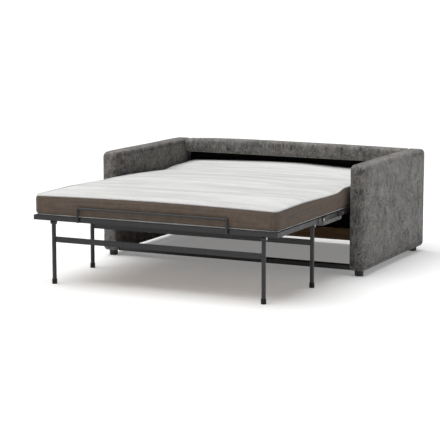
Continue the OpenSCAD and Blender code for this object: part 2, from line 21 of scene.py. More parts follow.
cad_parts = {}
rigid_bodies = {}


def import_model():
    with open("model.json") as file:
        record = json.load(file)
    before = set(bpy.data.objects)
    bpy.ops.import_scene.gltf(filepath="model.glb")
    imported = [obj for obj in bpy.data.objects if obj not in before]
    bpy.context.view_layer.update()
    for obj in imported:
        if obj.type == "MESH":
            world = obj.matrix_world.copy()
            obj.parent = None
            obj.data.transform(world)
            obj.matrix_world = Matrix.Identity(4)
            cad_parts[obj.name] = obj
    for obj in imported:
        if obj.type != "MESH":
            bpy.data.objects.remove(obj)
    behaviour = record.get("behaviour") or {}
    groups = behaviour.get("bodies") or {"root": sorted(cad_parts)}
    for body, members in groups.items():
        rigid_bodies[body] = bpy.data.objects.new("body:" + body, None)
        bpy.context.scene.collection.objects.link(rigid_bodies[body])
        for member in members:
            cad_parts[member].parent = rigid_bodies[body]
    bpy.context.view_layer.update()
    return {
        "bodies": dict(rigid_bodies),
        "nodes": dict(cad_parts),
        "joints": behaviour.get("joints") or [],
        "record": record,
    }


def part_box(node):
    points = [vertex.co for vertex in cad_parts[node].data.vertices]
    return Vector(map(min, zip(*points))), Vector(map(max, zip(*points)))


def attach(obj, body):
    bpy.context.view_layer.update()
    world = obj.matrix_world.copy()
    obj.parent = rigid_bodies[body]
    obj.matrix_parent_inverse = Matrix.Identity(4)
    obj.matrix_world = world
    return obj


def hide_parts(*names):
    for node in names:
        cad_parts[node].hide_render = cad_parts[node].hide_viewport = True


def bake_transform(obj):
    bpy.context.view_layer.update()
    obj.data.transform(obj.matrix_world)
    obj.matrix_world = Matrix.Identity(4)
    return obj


LOG = logging.getLogger("sofa_bed")
Piece = bpy.types.Object
Socket = bpy.types.NodeSocket
Material = bpy.types.Material
Colour = tuple[float, float, float]
Test = Callable[[Vector, Vector], bool]
Row = np.ndarray
WHITE: Colour = (1.0, 1.0, 1.0)
ON_PLANE = 0.0002  # how near a point is to a plane that it lies in
LONG_EDGE = 0.05  # how long an edge is that runs from corner to corner


class Pick(Enum):
    """What an edit works on."""

    EDGES = (False, True, False)
    FACES = (False, False, True)


class Axis(IntEnum):
    """The axes, by their place in a point."""

    X = 0
    Y = 1
    Z = 2


class Side(Enum):
    """The two arms, by the sign of X."""

    RIGHT = 1
    LEFT = -1


class Join(Enum):
    """How two numbers or two colours are put together."""

    ADD = "ADD"
    MULTIPLY = "MULTIPLY"
    MINIMUM = "MINIMUM"
    MAXIMUM = "MAXIMUM"
    MIX = "MIX"


class Slot(Enum):
    """The record's material slots."""

    UPHOLSTERY = "upholstery"
    TICKING = "ticking"
    LINING = "lining"
    BLACK_STEEL = "black_steel"
    ZINC = "zinc"
    TIMBER = "timber"
    SLAT = "slat"
    BOARD = "board"
    BLACK_PLASTIC = "black_plastic"
    RUBBER = "rubber"


@dataclass(frozen=True)
class Layout:
    """Where the outside of the back, the bed's folds and the top of its deck are."""

    back_y: float = 0.942955
    head_fold: float = 0.39191
    front_fold: float = 1.03291
    foot_fold: float = 1.30291
    deck_z: float = 0.353

    def y(self, depth: float) -> float:
        """The Y of a depth."""
        return self.back_y - depth


PLACES = Layout()


# Modelling


def clear_selection() -> None:
    """Leaves every object unselected, in object mode."""
    if bpy.context.mode != "OBJECT":
        bpy.ops.object.mode_set(mode="OBJECT")
    bpy.ops.object.select_all(action="DESELECT")


def make_active(piece: Piece) -> None:
    """Selects one piece alone.

    Args:
        piece: The piece to work on.
    """
    clear_selection()
    piece.select_set(True)
    bpy.context.view_layer.objects.active = piece


@contextmanager
def editing(piece: Piece, kind: Pick) -> Iterator[None]:
    """Edit mode on one piece, whose selection is kept as it was marked.

    Args:
        piece: The piece to edit.
        kind: What the selection is made of.

    Yields:
        Nothing; the mode is left at the end.
    """
    make_active(piece)
    bpy.context.tool_settings.mesh_select_mode = kind.value
    bpy.ops.object.mode_set(mode="EDIT")
    try:
        yield
    finally:
        bpy.ops.object.mode_set(mode="OBJECT")


def mark(piece: Piece, parts: bpy.types.bpy_prop_collection, chosen: Sequence[int]) -> None:
    """Leaves only some edges or faces of a mesh selected, with their points.

    Args:
        piece: The piece to mark.
        parts: All its edges, or all its faces.
        chosen: The numbers of those to select.
    """
    mesh = piece.data
    for every in (mesh.vertices, mesh.edges, mesh.polygons):
        every.foreach_set("select", [False] * len(every))
    for index in chosen:
        parts[index].select = True
        for v in parts[index].vertices:
            mesh.vertices[v].select = True


def runs_along(a: Vector, b: Vector, axis: Axis) -> bool:
    """Whether an edge is a long one along an axis."""
    return abs(a[axis] - b[axis]) > LONG_EDGE


def in_plane(axis: Axis, place: float) -> Test:
    """A test for the edges that lie in a plane across an axis."""
    return lambda a, b: abs(a[axis] - place) < ON_PLANE and abs(b[axis] - place) < ON_PLANE


def add_block(name: str, low: Sequence[float], high: Sequence[float]) -> Piece:
    """A block between two corners, with its place in its mesh.

    Args:
        name: The piece's name.
        low: Its lowest corner.
        high: Its highest corner.

    Returns:
        The new piece.
    """
    clear_selection()
    a, b = Vector(low), Vector(high)
    bpy.ops.mesh.primitive_cube_add(size=1, location=(a + b) / 2)
    piece = bpy.context.object
    piece.name = name
    piece.data.name = name
    piece.scale = b - a
    bpy.ops.object.transform_apply(location=True, rotation=True, scale=True)
    return piece


def bevel_edges(piece: Piece, radius: float, steps: int, test: Test) -> None:
    """Rounds the edges whose two ends pass a test.

    Args:
        piece: The piece to shape.
        radius: The radius of the rounding.
        steps: Its segments.
        test: Takes an edge's two ends.
    """
    mesh = piece.data
    mark(piece, mesh.edges, [e.index for e in mesh.edges if test(*(mesh.vertices[v].co for v in e.vertices))])
    with editing(piece, Pick.EDGES):
        bpy.ops.mesh.bevel(offset=radius, segments=steps, profile=0.5, affect="EDGES", clamp_overlap=False)


def cut_rows(piece: Piece, axis: Axis, places: Sequence[float]) -> None:
    """Cuts a mesh along planes, so that it has rows of points there.

    Args:
        piece: The piece to cut.
        axis: The axis that the planes lie across.
        places: Where the planes are along that axis.
    """
    normal = [float(a == axis) for a in Axis]
    with editing(piece, Pick.FACES):
        for place in places:
            bpy.ops.mesh.select_all(action="SELECT")
            bpy.ops.mesh.bisect(plane_co=[place * n for n in normal], plane_no=normal, threshold=ON_PLANE)


def rows_between(low: float, high: float, step: float) -> list[float]:
    """Even places between two ends, which are left out.

    Args:
        low: One end.
        high: The other end.
        step: About how far apart the places are.

    Returns:
        The places.
    """
    n = max(2, round((high - low) / step))
    return [low + (high - low) * i / n for i in range(1, n)]


def points_of(piece: Piece) -> Row:
    """Reads the points of a mesh.

    Args:
        piece: The piece to read.

    Returns:
        The points, one row each.
    """
    co = np.zeros(len(piece.data.vertices) * 3)
    piece.data.vertices.foreach_get("co", co)
    return co.reshape(-1, 3)


def set_points(piece: Piece, co: Row) -> None:
    """Gives a mesh new places for its points."""
    piece.data.vertices.foreach_set("co", np.asarray(co, np.float32).ravel())
    piece.data.update()


def ramp_up(value: Row, start: float, end: float) -> Row:
    """A smooth rise from 0 at start to 1 at end."""
    t = np.clip((value - start) / (end - start), 0.0, 1.0)
    return t * t * (3 - 2 * t)


def hills(co: Row, size: Sequence[float], seed: float) -> Row:
    """Soft hills between -1 and 1 at points in space.

    Args:
        co: The points.
        size: The hills' size along each axis.
        seed: Moves the pattern.

    Returns:
        One height for each point.
    """
    shift = Vector((seed, -seed, seed * 0.37))
    return np.array([noise.noise(Vector(p) + shift) for p in co / np.array(size)])


def finish_faces(piece: Piece, angle: float = 60.0) -> None:
    """Smooth shading, with the edges sharper than an angle kept, and the faces turned outwards.

    Args:
        piece: The piece to finish.
        angle: In degrees.
    """
    with editing(piece, Pick.FACES):
        bpy.ops.mesh.select_all(action="SELECT")
        bpy.ops.mesh.remove_doubles(threshold=0.00005)
        bpy.ops.mesh.normals_make_consistent(inside=False)
    make_active(piece)
    bpy.ops.object.shade_smooth_by_angle(angle=math.radians(angle))


def swell(piece: Piece, held: Row, pressure: float, frames: int, cap: float) -> None:
    """Lets a cover swell over its filling as cloth under pressure, and keeps the result.

    Args:
        piece: The closed cover.
        held: Which points a seam or the frame holds.
        pressure: The pressure inside.
        frames: How long it swells.
        cap: How far a point may move.
    """
    group = piece.vertex_groups.new(name="held")
    group.add(np.flatnonzero(held).tolist(), 1.0, "REPLACE")
    before = points_of(piece)
    cloth = piece.modifiers.new("swell", "CLOTH")
    settings = cloth.settings
    settings.quality = 6
    settings.mass = 0.35
    settings.tension_stiffness = settings.compression_stiffness = 18
    settings.shear_stiffness = 6
    settings.bending_stiffness = 3
    settings.air_damping = 3
    settings.use_pressure = True
    settings.uniform_pressure_force = pressure
    settings.vertex_group_mass = group.name
    settings.effector_weights.gravity = 0
    cloth.collision_settings.use_collision = False
    scene = bpy.context.scene
    for frame in range(1, frames + 1):
        scene.frame_set(frame)
    move = points_of(piece.evaluated_get(bpy.context.evaluated_depsgraph_get())) - before
    piece.modifiers.remove(cloth)
    scene.frame_set(1)
    piece.vertex_groups.clear()
    length = np.linalg.norm(move, axis=1, keepdims=True)
    move *= np.minimum(1.0, cap / np.maximum(length, 1e-9))
    set_points(piece, before + move)
    LOG.info("%s swelled by up to %.1f mm", piece.name, 1000 * float(np.linalg.norm(move, axis=1).max()))


# Finishes


class Tree:
    """A material's nodes, with short ways to add and join them."""

    def __init__(self, name: str) -> None:
        """Starts a material with only its shader and output.

        Args:
            name: The material's name.
        """
        self.material = bpy.data.materials.new(name)
        self.material.use_nodes = True
        self.nodes = self.material.node_tree.nodes
        self.links = self.material.node_tree.links
        self.shader = next(n for n in self.nodes if n.type == "BSDF_PRINCIPLED")
        source = self.add("ShaderNodeTexCoord").outputs
        self.place, self.facing = source["Object"], source["Normal"]

    def add(self, kind: str, **inputs: object) -> bpy.types.Node:
        """Adds a node.

        Args:
            kind: The node's type.
            **inputs: Its inputs by name, each a value or the socket that it is joined to.

        Returns:
            The node.
        """
        node = self.nodes.new(kind)
        self.fill(node, inputs)
        return node

    def fill(self, node: bpy.types.Node, inputs: dict[str, object]) -> None:
        """Sets or joins a node's inputs by name."""
        for name, value in inputs.items():
            self.give(node.inputs[name.replace("_", " ")], value)

    def give(self, socket: Socket, value: object) -> None:
        """Joins a socket to another, or sets its value.

        Args:
            socket: The input.
            value: The other socket, or a value. A colour needs no alpha.
        """
        if isinstance(value, Socket):
            self.links.new(value, socket)
        elif isinstance(value, tuple) and len(value) == 3 and socket.type == "RGBA":
            socket.default_value = (*value, 1.0)
        else:
            socket.default_value = value

    def stretched(self, scale: Sequence[float]) -> Socket:
        """The place on the piece, stretched along the axes."""
        return self.add("ShaderNodeMapping", Vector=self.place, Scale=tuple(scale)).outputs["Vector"]

    def noise(
        self, scale: float, detail: float, rough: float, twist: float = 0.0, at: Socket | None = None
    ) -> Socket:
        """Cloudy noise from 0 to 1."""
        return self.add(
            "ShaderNodeTexNoise", Vector=at or self.place, Scale=scale, Detail=detail, Roughness=rough,
            Distortion=twist,
        ).outputs["Fac"]

    def waves(self, scale: float, axis: Axis, twist: float = 0.0, at: Socket | None = None) -> Socket:
        """Straight bands across an axis.

        Args:
            scale: How close together they are.
            axis: The axis.
            twist: How far they wander.
            at: The place that they are drawn on, if it isn't the piece's own.

        Returns:
            Their height, from 0 to 1.
        """
        at = at or self.place
        node = self.add("ShaderNodeTexWave", Vector=at, Scale=scale, Distortion=twist, Detail=1.0)
        node.bands_direction = axis.name
        return node.outputs["Fac"]

    def cells(self, scale: float) -> Socket:
        """Distances from scattered points."""
        return self.add("ShaderNodeTexVoronoi", Vector=self.place, Scale=scale).outputs["Distance"]

    def facing_up(self) -> Socket:
        """How far the piece's surface faces up."""
        return self.add("ShaderNodeSeparateXYZ", Vector=self.facing).outputs["Z"]

    def span(
        self, value: Socket, low: float, high: float, to_low: float = 0.0, to_high: float = 1.0
    ) -> Socket:
        """Makes one range of numbers another, clipped at its ends.

        Args:
            value: The number.
            low: Where the first range starts.
            high: Where it ends.
            to_low: What its start becomes.
            to_high: What its end becomes.

        Returns:
            The new number.
        """
        node = self.nodes.new("ShaderNodeMapRange")
        for socket, number in zip(node.inputs[:5], (value, low, high, to_low, to_high)):
            self.give(socket, number)
        return node.outputs[0]

    def combine(self, first: object, second: object, kind: Join = Join.ADD) -> Socket:
        """Puts two numbers together.

        Args:
            first: A number or a socket.
            second: Another.
            kind: How they are put together.

        Returns:
            The result.
        """
        node = self.nodes.new("ShaderNodeMath")
        node.operation = kind.value
        self.give(node.inputs[0], first)
        self.give(node.inputs[1], second)
        return node.outputs[0]

    def weighed(self, *parts: tuple[Socket, float]) -> Socket:
        """Adds several numbers together, each times its weight.

        Args:
            *parts: The numbers and their weights.

        Returns:
            The sum.
        """
        total, *rest = [self.combine(number, weight, Join.MULTIPLY) for number, weight in parts]
        for more in rest:
            total = self.combine(total, more)
        return total

    def blend(self, share: object, first: object, second: object, kind: Join = Join.MIX) -> Socket:
        """Puts two colours together.

        Args:
            share: How much the second one counts, from 0 to 1.
            first: A colour or a socket.
            second: Another.
            kind: How they are put together.

        Returns:
            The result.
        """
        node = self.nodes.new("ShaderNodeMix")
        node.data_type = "RGBA"
        node.blend_type = kind.value
        for socket, value in ((node.inputs[0], share), (node.inputs[6], first), (node.inputs[7], second)):
            self.give(socket, value)
        return node.outputs[2]

    def tinted(self, colour: Socket, tint: Colour, share: Socket) -> Socket:
        """A colour times another, as far as a share says."""
        return self.blend(share, colour, self.blend(1.0, colour, tint, Join.MULTIPLY))

    def bump(self, height: Socket, depth: float, strength: float, over: Socket | None = None) -> Socket:
        """Makes a bumpy normal.

        Args:
            height: The bumps' height, from 0 to 1.
            depth: How deep they are.
            strength: How much they count.
            over: The normal that they lie on, if it isn't the piece's own.

        Returns:
            The normal.
        """
        node = self.add("ShaderNodeBump", Height=height, Distance=depth, Strength=strength)
        if over is not None:
            self.give(node.inputs["Normal"], over)
        return node.outputs["Normal"]

    def shade(self, **inputs: object) -> Material:
        """Sets the shader's inputs and gives the material."""
        self.fill(self.shader, inputs)
        return self.material


@dataclass(frozen=True)
class Chenille:
    """Grey chenille whose crushed pile makes light and dark streaks, with painted light that makes it lighter
    where it faces up.
    """

    dark: Colour = (0.06, 0.0578, 0.0552)
    light: Colour = (0.318, 0.311, 0.301)
    warm: Colour = (1.07, 0.98, 0.91)
    deep: Colour = (0.5, 0.5, 0.5)
    # Painted light: the tint that lightens the surfaces that face up.
    bright: Colour = (2.0, 2.0, 2.0)
    tip: Colour = (0.88, 0.88, 0.87)
    # Painted light: how far the surfaces that face up are lightened.
    painted_top_light: float = 0.37
    weights: tuple[float, float, float] = (0.18, 0.48, 0.34)
    tones: tuple[float, float] = (0.384, 0.636)

    def make(self) -> Material:
        """Lays out the nodes.

        Returns:
            The finished material.
        """
        t = Tree("chenille")
        upright = t.stretched((1.0, 0.6, 0.6))
        patches = t.noise(10.0, detail=3.0, rough=0.55, twist=0.4, at=t.stretched((1.0, 1.0, 0.8)))
        streaks = t.noise(44.0, detail=4.0, rough=0.68, twist=0.8, at=upright)
        flecks = t.noise(140.0, detail=2.0, rough=0.6, twist=0.5, at=upright)
        pile = t.noise(900.0, detail=2.0, rough=0.7)
        tone = t.span(t.weighed(*zip((patches, streaks, flecks), self.weights)), *self.tones)
        colour = t.blend(tone, self.dark, self.light)
        worn = t.noise(5.0, detail=2.0, rough=0.5, twist=0.6)
        colour = t.tinted(colour, self.warm, t.span(worn, 0.48, 0.68, 0.0, 0.6))
        colour = t.tinted(colour, self.deep, t.span(pile, 0.3, 0.7, 0.0, 0.3))
        # Painted light: the surfaces that face up are lightened, standing in for light from above.
        colour = t.tinted(colour, self.bright, t.span(t.facing_up(), 0.45, 0.95, 0.0, self.painted_top_light))
        normal = t.bump(pile, 0.0012, 0.8)
        normal = t.bump(flecks, 0.002, 0.7, normal)
        normal = t.bump(streaks, 0.003, 0.6, normal)
        return t.shade(
            Base_Color=colour, Roughness=t.span(tone, 0.0, 1.0, 0.95, 0.82), Normal=normal, Sheen_Weight=0.4,
            Sheen_Roughness=0.35, Sheen_Tint=self.tip, Specular_IOR_Level=0.2,
        )


@dataclass(frozen=True)
class Ticking:
    """White knitted ticking with a fine embossed diamond and soft creases across the bed, with painted shade
    along the creases and in the diamond's grooves.
    """

    white: Colour = (0.915, 0.916, 0.898)
    shade: Colour = (0.655, 0.657, 0.641)
    diamonds: float = 17.0
    turn: float = 45.0

    def make(self) -> Material:
        """Lays out the nodes.

        Returns:
            The finished material.
        """
        t = Tree("ticking")
        turn = (0.0, 0.0, math.radians(self.turn))
        turned = t.add("ShaderNodeMapping", Vector=t.place, Rotation=turn).outputs["Vector"]
        left, right = (t.waves(self.diamonds, axis, 0.15, turned) for axis in (Axis.X, Axis.Y))
        diamond = t.combine(left, right, Join.MINIMUM)
        knit = t.combine(t.waves(260.0, Axis.X), t.waves(180.0, Axis.Y), Join.MULTIPLY)
        cloud = t.noise(7.0, detail=3.0, rough=0.6)
        creases_and_painted_shade = t.noise(11.0, detail=2.0, rough=0.55, twist=0.2, at=t.stretched((0.13, 1.0, 1.0)))
        colour = t.blend(t.span(cloud, 0.3, 0.7, 0.0, 0.3), self.white, self.shade)
        # Painted shade: soft bands across the bed are darkened where the creases lie; the same pattern also
        # bumps the surface.
        colour = t.blend(t.span(creases_and_painted_shade, 0.4, 0.64, 0.0, 0.85), colour, self.shade)
        # Painted shade: the sunken grooves of the embossed diamond are darkened.
        colour = t.blend(t.span(diamond, 0.0, 0.35, 0.35, 0.0), colour, self.shade)
        normal = t.bump(knit, 0.0005, 0.6)
        normal = t.bump(t.span(diamond, 0.0, 0.45), 0.0012, 0.45, normal)
        normal = t.bump(creases_and_painted_shade, 0.014, 0.9, normal)
        return t.shade(
            Base_Color=colour, Roughness=0.88, Normal=normal, Sheen_Weight=0.12, Sheen_Roughness=0.5,
            Specular_IOR_Level=0.25,
        )


@dataclass(frozen=True)
class Woven:
    """Plain woven cloth, such as the mattress border, its tape or the black lining."""

    name: str
    thread: Colour
    gap: Colour
    threads: float
    wander: float
    rough: float = 0.9

    def make(self) -> Material:
        """Lays out the nodes.

        Returns:
            The finished material.
        """
        t = Tree(self.name)
        across, along, upward = (t.waves(self.threads, axis, self.wander) for axis in Axis)
        weave = t.combine(t.combine(across, along), upward)
        mottle = t.noise(26.0, detail=4.0, rough=0.65, twist=0.5)
        fibre = t.noise(640.0, detail=2.0, rough=0.7)
        share = t.weighed((t.span(weave, 0.6, 2.4), 0.5), (t.span(mottle, 0.3, 0.7), 0.5))
        colour = t.blend(share, self.gap, self.thread)
        colour = t.blend(t.span(fibre, 0.35, 0.7, 0.0, 0.35), colour, self.gap)
        normal = t.bump(fibre, 0.0006, 0.5)
        normal = t.bump(weave, 0.0007, 0.6, normal)
        return t.shade(
            Base_Color=colour, Roughness=self.rough, Normal=normal, Sheen_Weight=0.1, Sheen_Roughness=0.5,
            Specular_IOR_Level=0.2,
        )


@dataclass(frozen=True)
class Wood:
    """Sawn or laminated wood whose grain runs along X."""

    name: str
    light: Colour
    dark: Colour
    rings: float
    rough: float
    lacquer: float = 0.0

    def make(self) -> Material:
        """Lays out the nodes.

        Returns:
            The finished material.
        """
        t = Tree(self.name)
        bands = t.noise(self.rings, detail=4.0, rough=0.6, twist=1.2, at=t.stretched((0.06, 1.0, 1.0)))
        pores = t.noise(420.0, detail=2.0, rough=0.6, at=t.stretched((0.05, 1.0, 1.0)))
        board = t.noise(3.0, detail=1.0, rough=0.5, at=t.stretched((0.2, 5.0, 5.0)))
        share = t.weighed((t.span(bands, 0.32, 0.68), 0.65), (board, 0.35))
        colour = t.blend(share, self.dark, self.light)
        colour = t.blend(t.span(pores, 0.56, 0.72, 0.0, 0.55), colour, self.dark)
        return t.shade(
            Base_Color=colour, Roughness=t.span(bands, 0.3, 0.7, self.rough + 0.08, self.rough),
            Normal=t.bump(pores, 0.0004, 0.4), Coat_Weight=self.lacquer, Coat_Roughness=0.25,
            Specular_IOR_Level=0.4,
        )


@dataclass(frozen=True)
class Metal:
    """Steel, with black powder coat or bright zinc."""

    name: str
    colour: Colour
    wear: Colour
    metallic: float
    rough: float

    def make(self) -> Material:
        """Lays out the nodes.

        Returns:
            The finished material.
        """
        t = Tree(self.name)
        peel = t.noise(480.0, detail=2.0, rough=0.5)
        cloud = t.noise(30.0, detail=4.0, rough=0.6, twist=0.3)
        speck = t.noise(130.0, detail=3.0, rough=0.7)
        colour = t.blend(t.span(cloud, 0.4, 0.75, 0.0, 0.5), self.colour, self.wear)
        colour = t.blend(t.span(speck, 0.66, 0.74, 0.0, 0.5), colour, self.wear)
        return t.shade(
            Base_Color=colour, Metallic=self.metallic, Normal=t.bump(peel, 0.0003, 0.35),
            Roughness=t.span(cloud, 0.3, 0.7, self.rough - 0.07, self.rough + 0.1),
        )


@dataclass(frozen=True)
class Moulded:
    """Moulded plastic or rubber with a fine grained skin."""

    name: str
    colour: Colour
    scuff: Colour
    rough: float

    def make(self) -> Material:
        """Lays out the nodes.

        Returns:
            The finished material.
        """
        t = Tree(self.name)
        scuffs = t.noise(60.0, detail=5.0, rough=0.75, twist=0.8)
        return t.shade(
            Base_Color=t.blend(t.span(scuffs, 0.55, 0.75, 0.0, 0.6), self.colour, self.scuff),
            Normal=t.bump(t.cells(900.0), 0.0002, 0.35),
            Roughness=t.span(scuffs, 0.35, 0.7, self.rough, self.rough + 0.12),
        )


FINISHES = {
    Slot.UPHOLSTERY: Chenille(),
    Slot.TICKING: Ticking(),
    Slot.LINING: Woven(
        "black_lining", (0.008, 0.008, 0.009), (0.003, 0.003, 0.003), threads=90.0, wander=2.5, rough=0.95
    ),
    Slot.BLACK_STEEL: Metal(
        "black_powder_coat", (0.022, 0.022, 0.024), (0.04, 0.04, 0.043), metallic=0.0, rough=0.42
    ),
    Slot.ZINC: Metal("bright_zinc", (0.56, 0.57, 0.58), (0.4, 0.4, 0.39), metallic=1.0, rough=0.34),
    Slot.TIMBER: Wood("softwood", (0.62, 0.44, 0.25), (0.42, 0.26, 0.12), rings=18.0, rough=0.68),
    Slot.SLAT: Wood(
        "beech_laminate", (0.66, 0.46, 0.27), (0.5, 0.31, 0.16), rings=34.0, rough=0.42, lacquer=0.25
    ),
    Slot.BOARD: Wood("plywood", (0.57, 0.42, 0.26), (0.43, 0.29, 0.16), rings=12.0, rough=0.7),
    Slot.BLACK_PLASTIC: Moulded("black_plastic", (0.018, 0.018, 0.019), (0.05, 0.05, 0.052), rough=0.46),
    Slot.RUBBER: Moulded("black_rubber", (0.014, 0.014, 0.014), (0.04, 0.039, 0.038), rough=0.78),
}
BORDER = Woven("border_cloth", (0.2, 0.155, 0.122), (0.105, 0.08, 0.062), threads=150.0, wander=0.5)
TAPE = Woven("edge_tape", (0.95, 0.95, 0.94), (0.86, 0.86, 0.85), threads=420.0, wander=0.1)


class Wardrobe:
    """Makes each finish once and gives it to pieces."""

    def __init__(self) -> None:
        """Starts with no finish made."""
        self.made: dict[str, Material] = {}

    def of(self, key: Slot | Woven) -> Material:
        """Finds a finish, and makes it the first time.

        Args:
            key: A slot, or a cloth that has no slot.

        Returns:
            Its material.
        """
        name = key.value if isinstance(key, Slot) else key.name
        if name not in self.made:
            self.made[name] = (FINISHES[key] if isinstance(key, Slot) else key).make()
        return self.made[name]

    def dress(self, piece: Piece, *keys: Slot | Woven) -> None:
        """Gives a piece its finishes, the first one to all its faces.

        Args:
            piece: The piece.
            *keys: Its slots or cloths.
        """
        piece.data.materials.clear()
        for key in keys:
            piece.data.materials.append(self.of(key))


# Upholstery


def upholster(
    piece: Piece, node: str, body: str, wardrobe: Wardrobe, angle: float = 60.0
) -> list[Piece]:
    """Finishes a shaped cover, hides the solid that it stands for and hangs it on the body that it rides on.

    Args:
        piece: The cover.
        node: The solid that it stands for.
        body: The body that it rides on.
        wardrobe: Where its finish comes from.
        angle: Edges sharper than this stay sharp, in degrees.

    Returns:
        The one finished piece.
    """
    finish_faces(piece, angle)
    wardrobe.dress(piece, Slot.UPHOLSTERY)
    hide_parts(node)
    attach(piece, body)
    return [piece]


@dataclass
class ArmPad:
    """The padded cover of one arm: two side panels sewn to a band that runs all round its edge."""

    side: Side
    corner: float = 0.033
    low_corner: float = 0.0285
    rim: float = 0.014
    seam_inset: float = 0.0012
    seam_width: float = 0.0061
    seam_depth: float = 0.0044
    puff_out: float = 0.003
    puff_in: float = 0.001
    unevenness: float = 0.35
    ripple: float = 0.0005
    band_crown: float = 0.0008
    back_crown: float = 0.0035
    band_wave: float = 0.0007
    flare: float = 0.009
    grid: float = 0.018
    band_rows: tuple[float, ...] = (0.3, 0.4, 0.5, 0.6, 0.7)
    fill: float = 0.85
    name: str = field(init=False)
    node: str = field(init=False)
    low: Vector = field(init=False)
    high: Vector = field(init=False)
    mid: Vector = field(init=False)

    def __post_init__(self) -> None:
        """Names the piece and takes its corners from the solid that it stands for."""
        word = self.side.name.lower()
        self.name, self.node = f"{word}_arm_pad", f"{word}_arm_cover"
        self.low, self.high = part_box(self.node)
        self.mid = (self.low + self.high) / 2

    def build(self, wardrobe: Wardrobe) -> list[Piece]:
        """Makes the cover.

        Args:
            wardrobe: Where its finish comes from.

        Returns:
            The one finished piece.
        """
        low, high = self.low, self.high
        pad = add_block(self.name, low, high)
        self.round_outline(pad)
        self.sew_panels(pad)
        for axis in (Axis.Y, Axis.Z):
            cut_rows(pad, axis, rows_between(low[axis], high[axis], self.grid))
        cut_rows(pad, Axis.X, [low.x + (high.x - low.x) * share for share in self.band_rows])
        self.swell_panels(pad)
        self.plump(pad)
        return upholster(pad, self.node, "sofa_frame", wardrobe)

    def round_outline(self, pad: Piece) -> None:
        """Rounds the four corners seen from the side, then the rims of the two panels.

        Args:
            pad: The block.
        """
        for upper, radius, steps in ((True, self.corner, 8), (False, self.low_corner, 6)):
            bevel_edges(
                pad, radius, steps,
                lambda a, b, up=upper: runs_along(a, b, Axis.X) and (a.z > self.mid.z) == up,
            )
        for x in (self.low.x, self.high.x):
            bevel_edges(pad, self.rim, 5, in_plane(Axis.X, x))

    def sew_panels(self, pad: Piece) -> None:
        """Sinks a seam round each side panel, where it meets the band.

        Args:
            pad: The rounded block.
        """
        mark(pad, pad.data.polygons, [p.index for p in pad.data.polygons if abs(p.normal.x) > 0.999])
        with editing(pad, Pick.FACES):
            bpy.ops.mesh.inset(thickness=self.seam_inset, depth=0)
            for depth in (-self.seam_depth, self.seam_depth):
                bpy.ops.mesh.inset(thickness=self.seam_width, depth=depth)

    def swell_panels(self, pad: Piece) -> None:
        """Lets the cover swell over the padding, held by the seams, the floor edge and the inner panel.

        Args:
            pad: The sewn cover.
        """
        x, _, z = points_of(pad).T
        half = (self.high.x - self.low.x) / 2
        sunk = np.abs(np.abs(x - self.mid.x) - half + self.seam_depth) < 0.0006
        inner = (x - self.mid.x) * self.side.value < -half + 0.001
        held = sunk | (z < self.low.z + 0.004) | inner
        swell(pad, held, pressure=2.0, frames=12, cap=0.003)

    def plump(self, pad: Piece) -> None:
        """Fills the panels and the band out over the padding, with the unevenness of real cloth.

        Args:
            pad: The swelled cover.
        """
        low, high, mid, sign = self.low, self.high, self.mid, self.side.value
        co = points_of(pad)
        x, y, z = co.T
        width = high.x - low.x
        past_y = np.abs(y - mid.y) - (high.y - low.y) / 2
        past_z = np.abs(z - mid.z) - (high.z - low.z) / 2
        outward = np.sign(x - mid.x)
        panel = ramp_up(np.minimum(-past_y, -past_z), 0.014, 0.1)
        puff = np.where(outward == sign, self.puff_out, self.puff_in)
        soft = hills(co, size=(0.2, 0.16, 0.22), seed=3.1 * sign)
        ripple = hills(co, size=(0.2, 0.045, 0.3), seed=7.7 * sign)
        flat = np.abs(np.abs(x - mid.x) - width / 2) < 0.004
        fullness = puff + puff * self.unevenness * soft + self.ripple * ripple
        x += np.where(flat, outward * panel * fullness, 0.0)
        band = 1 - (2 * np.abs(x - mid.x) / width) ** 2
        out_y = np.sign(y - mid.y) * np.clip(past_y + self.corner, 0, None)
        out_z = np.clip(z - high.z + self.corner, 0, None)
        length = np.hypot(out_y, out_z) + 1e-9
        out_y, out_z = out_y / length, out_z / length
        crown = self.band_crown + (self.back_crown - self.band_crown) * np.clip(out_y, 0, 1)
        wave = self.band_wave * hills(co, size=(0.3, 0.09, 0.09), seed=1.7)
        reach = np.clip(band, 0, 1) * (crown + wave)
        y += reach * out_y
        z += reach * out_z
        outer_share = np.clip((x - mid.x) * 2 * sign / width, 0, 1)
        x += sign * self.flare * outer_share * ramp_up(y, mid.y, high.y)
        set_points(pad, co)


